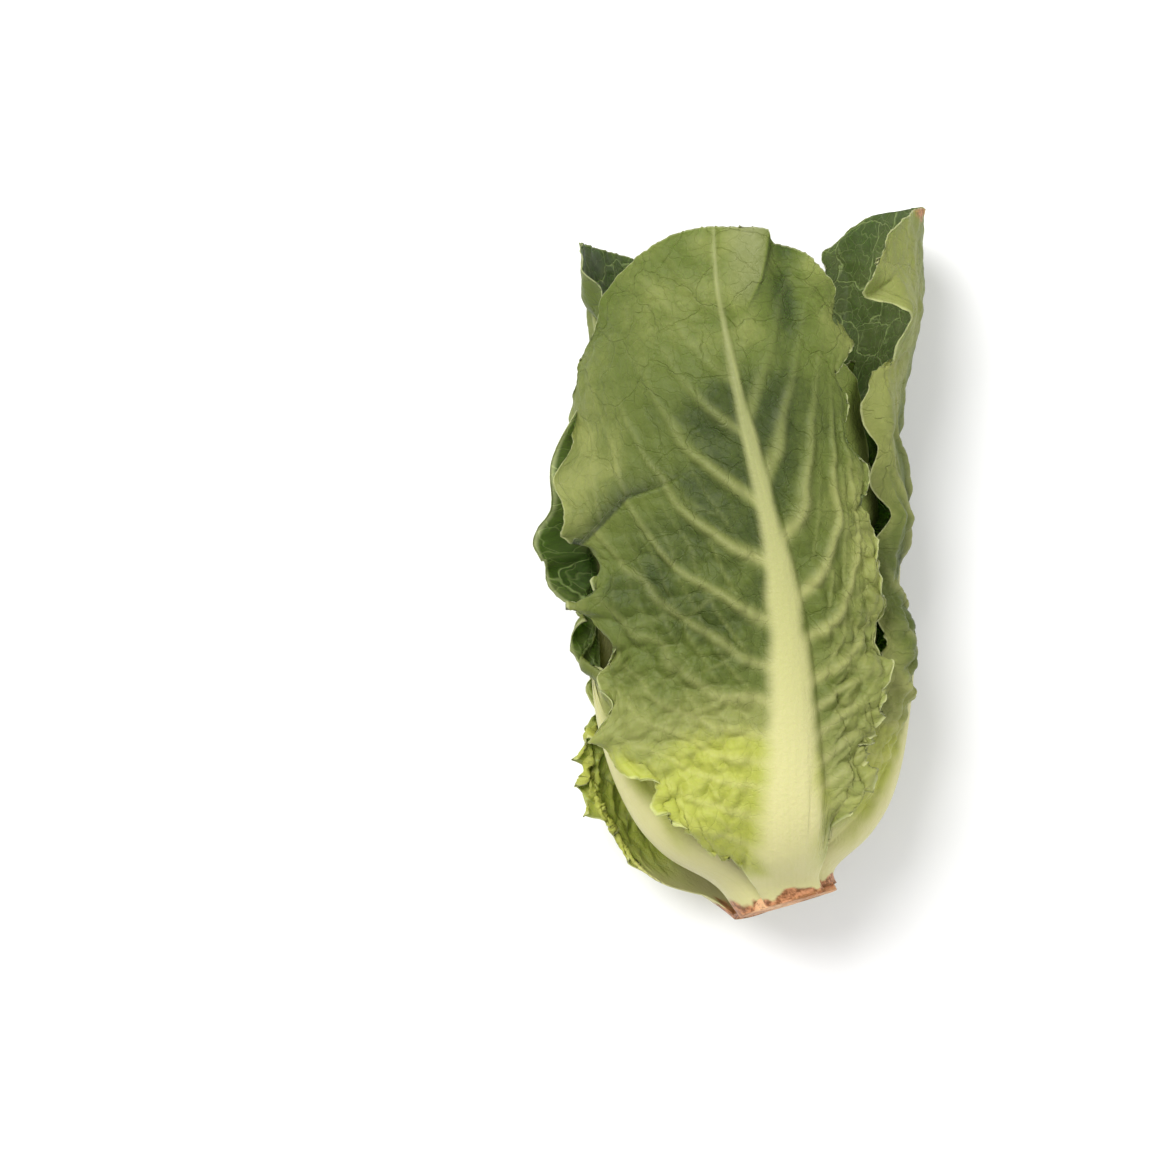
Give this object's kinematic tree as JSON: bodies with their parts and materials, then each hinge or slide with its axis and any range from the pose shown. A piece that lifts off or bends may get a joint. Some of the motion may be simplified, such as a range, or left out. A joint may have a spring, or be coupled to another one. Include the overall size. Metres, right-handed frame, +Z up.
{
  "type": "romaine heart",
  "caption": "Romaine heart lying on its back: upright crinkled green leaves with pale ribs, wrapped round a short stem with a browned, slanted cut.",
  "frame": {"origin": "on the surface it lies on, under the middle of the heart's box", "axes": "+Y from the cut stem to the leaf tips, +Z up through the front leaf, +X to the right seen from above"},
  "size_m": [0.114, 0.2074, 0.0761],
  "materials": {
    "stem": "cream flesh with a rough, oxidised pink-brown cut face",
    "outer_leaf": "satin green blade, net-veined and crinkled, with a pale yellow-green to cream midrib",
    "middle_leaf": "satin yellow-green blade with a cream midrib",
    "inner_leaf": "satin pale yellow blade with a cream midrib"
  },
  "bodies": {
    "root": {"stem": "stem", "leaf_01_back": "outer_leaf", "leaf_02_front": "outer_leaf", "leaf_03_right": "outer_leaf", "leaf_04_left": "outer_leaf", "leaf_05_middle": "middle_leaf", "leaf_06_middle": "middle_leaf", "leaf_07_middle": "middle_leaf", "leaf_08_middle": "middle_leaf", "leaf_09_middle": "middle_leaf", "leaf_10_middle": "middle_leaf", "leaf_11_inner": "inner_leaf", "leaf_12_inner": "inner_leaf", "leaf_13_inner": "inner_leaf", "leaf_14_inner": "inner_leaf", "leaf_15_inner": "inner_leaf", "leaf_16_inner": "inner_leaf"}
  },
  "joints": []
}
